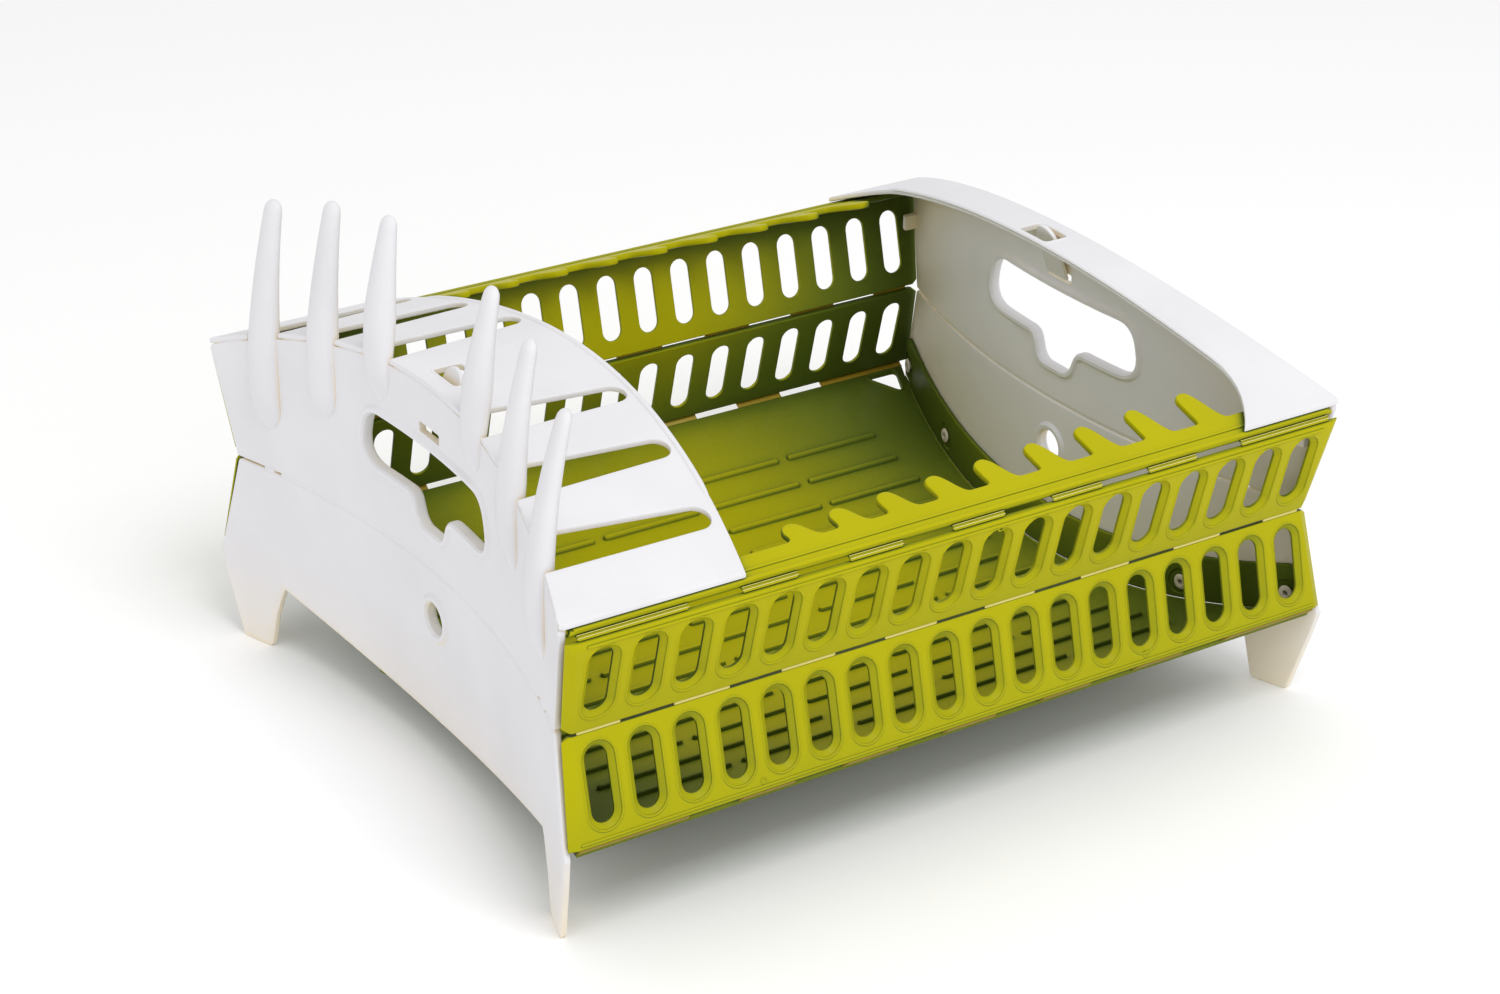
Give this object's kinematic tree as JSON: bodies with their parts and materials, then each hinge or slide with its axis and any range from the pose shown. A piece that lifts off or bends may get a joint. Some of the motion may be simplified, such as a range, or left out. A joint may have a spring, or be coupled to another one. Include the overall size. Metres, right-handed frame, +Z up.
{
  "type": "collapsible dish drying rack",
  "caption": "Collapsible plastic dish rack: sagging slotted tray, zig-zag side walls with plate combs, bowed end walls with feet, hand holes, folding flaps and cup prongs.",
  "frame": {"origin": "middle of the footprint, on the surface that the four feet stand on", "axes": "+Z up, X along the rack with the cup prongs at the -X end, +Y towards the back side wall"},
  "size_m": [0.4592, 0.3738, 0.275],
  "materials": {
    "green_pp": "satin lime green moulded polypropylene",
    "white_pp": "satin white moulded polypropylene",
    "rivet_pp": "satin white moulded polypropylene"
  },
  "bodies": {
    "tray": {"tray_floor": "green_pp"},
    "front_lower": {"front_lower_panel": "green_pp"},
    "front_upper": {"front_upper_panel": "green_pp"},
    "front_strip": {"front_plate_strip": "green_pp"},
    "back_lower": {"back_lower_panel": "green_pp"},
    "back_upper": {"back_upper_panel": "green_pp"},
    "back_strip": {"back_plate_strip": "green_pp"},
    "right_end": {"right_wall_lower": "white_pp", "right_wall_upper": "white_pp", "right_end_flange": "green_pp", "right_latch_tongue": "white_pp", "right_rivet_1": "rivet_pp", "right_rivet_2": "rivet_pp", "right_rivet_3": "rivet_pp", "right_rivet_4": "rivet_pp"},
    "left_end": {"left_wall_lower": "white_pp", "left_wall_upper": "white_pp", "left_end_flange": "green_pp", "left_latch_tongue": "white_pp", "left_rivet_1": "rivet_pp", "left_rivet_2": "rivet_pp", "left_rivet_3": "rivet_pp", "left_rivet_4": "rivet_pp"},
    "right_flap": {"right_flap": "white_pp"},
    "left_flap": {"left_flap": "white_pp"}
  },
  "joints": [
    {"name": "left_end_fold", "type": "hinge", "parent": "tray", "child": "left_end", "pos_m": [-0.21, 0, 0.0195], "axis": [0, -1, 0], "range_deg": [0, 88]},
    {"name": "right_end_fold", "type": "hinge", "parent": "tray", "child": "right_end", "pos_m": [0.21, 0, 0.0195], "axis": [0, 1, 0], "range_deg": [0, 88]},
    {"name": "front_lower_fold", "type": "hinge", "parent": "tray", "child": "front_lower", "pos_m": [0, -0.1833, 0.0535], "axis": [-1, 0, 0], "range_deg": [0, 74]},
    {"name": "front_crease_fold", "type": "hinge", "parent": "front_lower", "child": "front_upper", "pos_m": [0, -0.17387, 0.10824], "axis": [1, 0, 0], "range_deg": [0, 148]},
    {"name": "front_strip_fold", "type": "hinge", "parent": "front_upper", "child": "front_strip", "pos_m": [0, -0.1833, 0.16298], "axis": [-1, 0, 0], "range_deg": [0, 74]},
    {"name": "back_lower_fold", "type": "hinge", "parent": "tray", "child": "back_lower", "pos_m": [0, 0.1833, 0.0535], "axis": [1, 0, 0], "range_deg": [0, 74]},
    {"name": "back_crease_fold", "type": "hinge", "parent": "back_lower", "child": "back_upper", "pos_m": [0, 0.17387, 0.10824], "axis": [-1, 0, 0], "range_deg": [0, 148]},
    {"name": "back_strip_fold", "type": "hinge", "parent": "back_upper", "child": "back_strip", "pos_m": [0, 0.1833, 0.16298], "axis": [1, 0, 0], "range_deg": [0, 74]},
    {"name": "left_flap_lift", "type": "hinge", "parent": "left_end", "child": "left_flap", "pos_m": [-0.2285, 0, 0.167], "axis": [0, -1, 0], "range_deg": [0, 60]},
    {"name": "right_flap_lift", "type": "hinge", "parent": "right_end", "child": "right_flap", "pos_m": [0.2285, 0, 0.167], "axis": [0, 1, 0], "range_deg": [0, 60]}
  ],
  "couplings": [
    {"joint": "right_end_fold", "follows": "left_end_fold", "ratio": 1},
    {"joint": "front_lower_fold", "follows": "left_end_fold", "ratio": 0.84},
    {"joint": "front_crease_fold", "follows": "left_end_fold", "ratio": 1.68},
    {"joint": "front_strip_fold", "follows": "left_end_fold", "ratio": 0.84},
    {"joint": "back_lower_fold", "follows": "left_end_fold", "ratio": 0.84},
    {"joint": "back_crease_fold", "follows": "left_end_fold", "ratio": 1.68},
    {"joint": "back_strip_fold", "follows": "left_end_fold", "ratio": 0.84}
  ]
}
